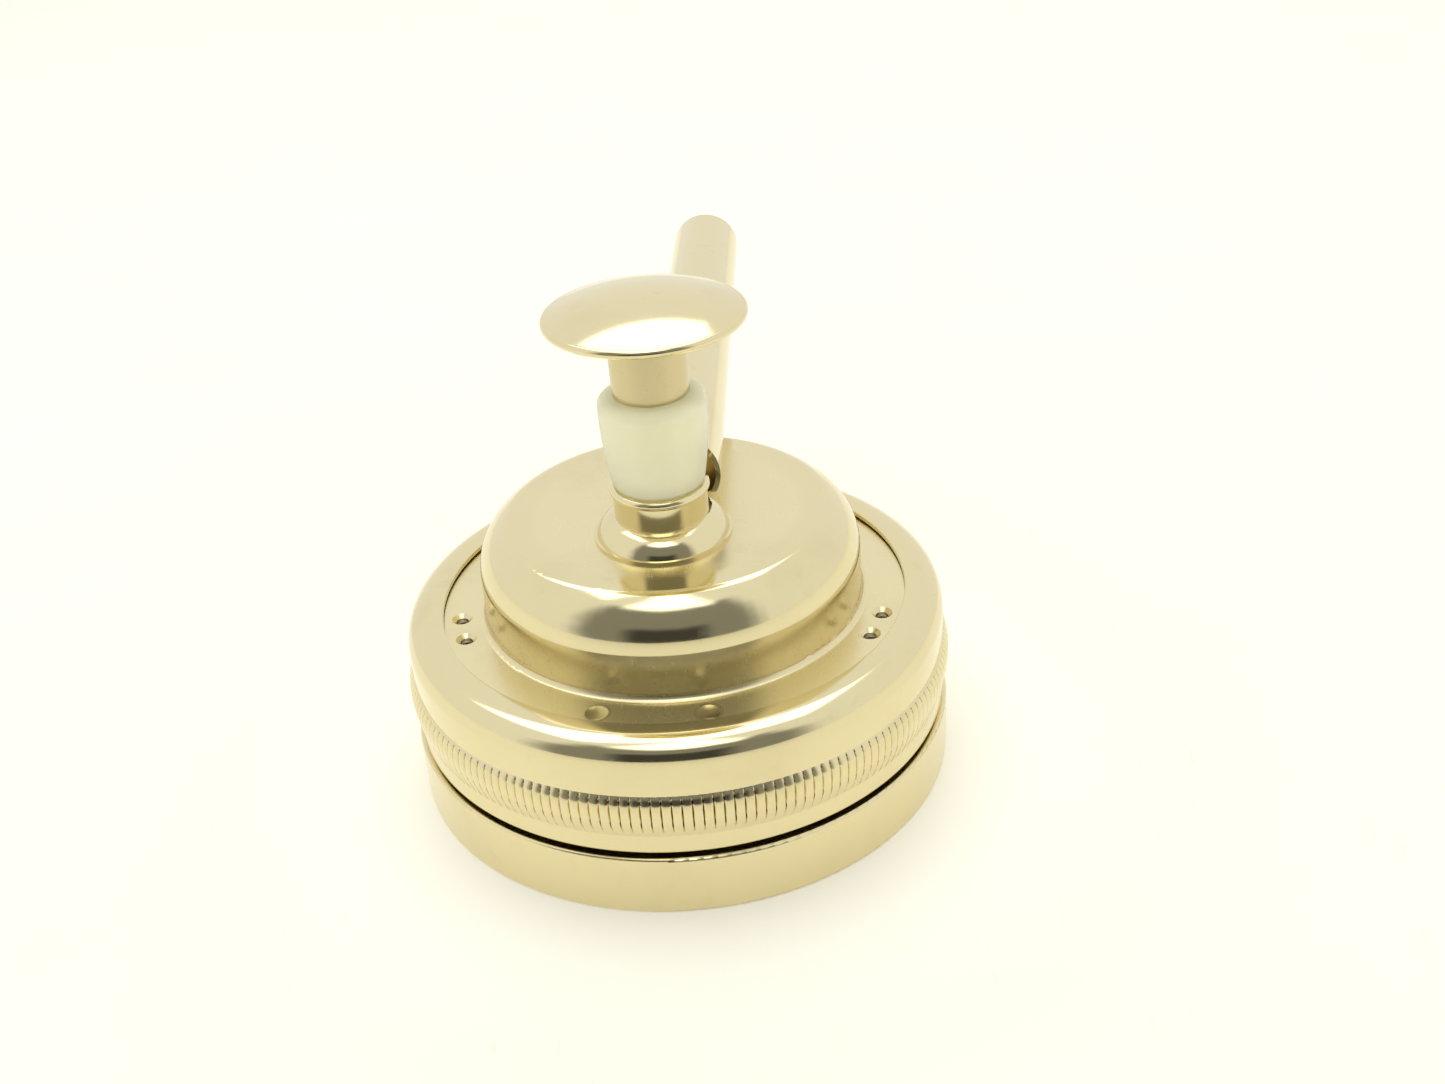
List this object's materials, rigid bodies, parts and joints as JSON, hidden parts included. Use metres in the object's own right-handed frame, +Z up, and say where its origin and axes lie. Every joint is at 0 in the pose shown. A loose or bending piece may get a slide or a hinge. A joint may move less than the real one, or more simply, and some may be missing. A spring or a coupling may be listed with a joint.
{
  "type": "thermostatic steam trap",
  "caption": "Round nickel-plated steam trap: cup base, milled clamp ring, vented bonnet and drum, thumb purge button with soft boot, and a side outlet tube.",
  "frame": {"origin": "centre of the inlet bore in the base's underside", "axes": "+Z up along the drum, +Y along the outlet tube towards its open end, +X to the right seen from the button's side"},
  "size_m": [0.0804, 0.1325, 0.0757],
  "materials": {
    "nickel_plate": "warm polished nickel plate over brass, fine buffing marks",
    "bright_steel": "turned stainless steel",
    "spring_steel": "drawn stainless spring wire",
    "raw_brass": "turned brass",
    "bellows_bronze": "thin phosphor bronze",
    "braze_metal": "cleaned braze fillet",
    "boot_silicone": "translucent milky silicone",
    "white_ptfe": "turned fluoropolymer",
    "gasket_fibre": "red-brown fibre sheet"
  },
  "bodies": {
    "trap_body": {"base_cup": "nickel_plate", "inlet_strainer": "bright_steel", "strainer_clip": "spring_steel", "body_gasket": "gasket_fibre", "bonnet": "nickel_plate", "flap_retainer": "raw_brass", "retainer_rivets": "nickel_plate", "hub": "nickel_plate", "hub_washer": "gasket_fibre", "hub_nut": "raw_brass", "valve_seat": "bright_steel", "guide_bush": "white_ptfe", "stem_boot": "boot_silicone", "return_spring": "spring_steel", "outlet_tube": "nickel_plate", "tube_plug": "raw_brass", "outlet_nipple": "raw_brass", "tube_braze": "braze_metal"},
    "slip_washer_body": {"slip_washer": "raw_brass"},
    "clamp_ring": {"knurled_ring": "nickel_plate"},
    "flap_body": {"vent_flap": "white_ptfe"},
    "button": {"push_stem": "bright_steel", "stem_collar": "nickel_plate", "mushroom_head": "nickel_plate", "spring_washer": "bright_steel", "stem_clip": "spring_steel", "end_plate": "raw_brass", "bellows": "bellows_bronze", "lock_washer": "spring_steel", "stem_nut": "bright_steel"},
    "valve": {"valve_disc": "raw_brass", "valve_facing": "white_ptfe"}
  },
  "joints": [
    {"name": "button_press", "type": "slide", "parent": "trap_body", "child": "button", "axis": [0, 0, -1], "range_m": [0, 0.004], "stiffness_N_per_m": 2000, "springref_m": -0.001, "deforming": ["stem_boot", "return_spring"]},
    {"name": "valve_stroke", "type": "slide", "parent": "button", "child": "valve", "axis": [0, 0, 1], "range_m": [0, 0.0008], "stiffness_N_per_m": 1000, "deforming": ["bellows"]},
    {"name": "flap_lift", "type": "slide", "parent": "trap_body", "child": "flap_body", "axis": [0, 0, 1], "range_m": [0, 0.00055]},
    {"name": "ring_lift", "type": "slide", "parent": "trap_body", "child": "slip_washer_body", "axis": [0, 0, 1], "range_m": [0, 0.00601]},
    {"name": "ring_turn", "type": "hinge", "parent": "slip_washer_body", "child": "clamp_ring", "pos_m": [0, 0, 0.02], "axis": [0, 0, 1], "range_deg": [0, 1440]}
  ],
  "couplings": [
    {"joint": "ring_lift", "follows": "ring_turn", "m_per_rad": 0.00023873}
  ]
}
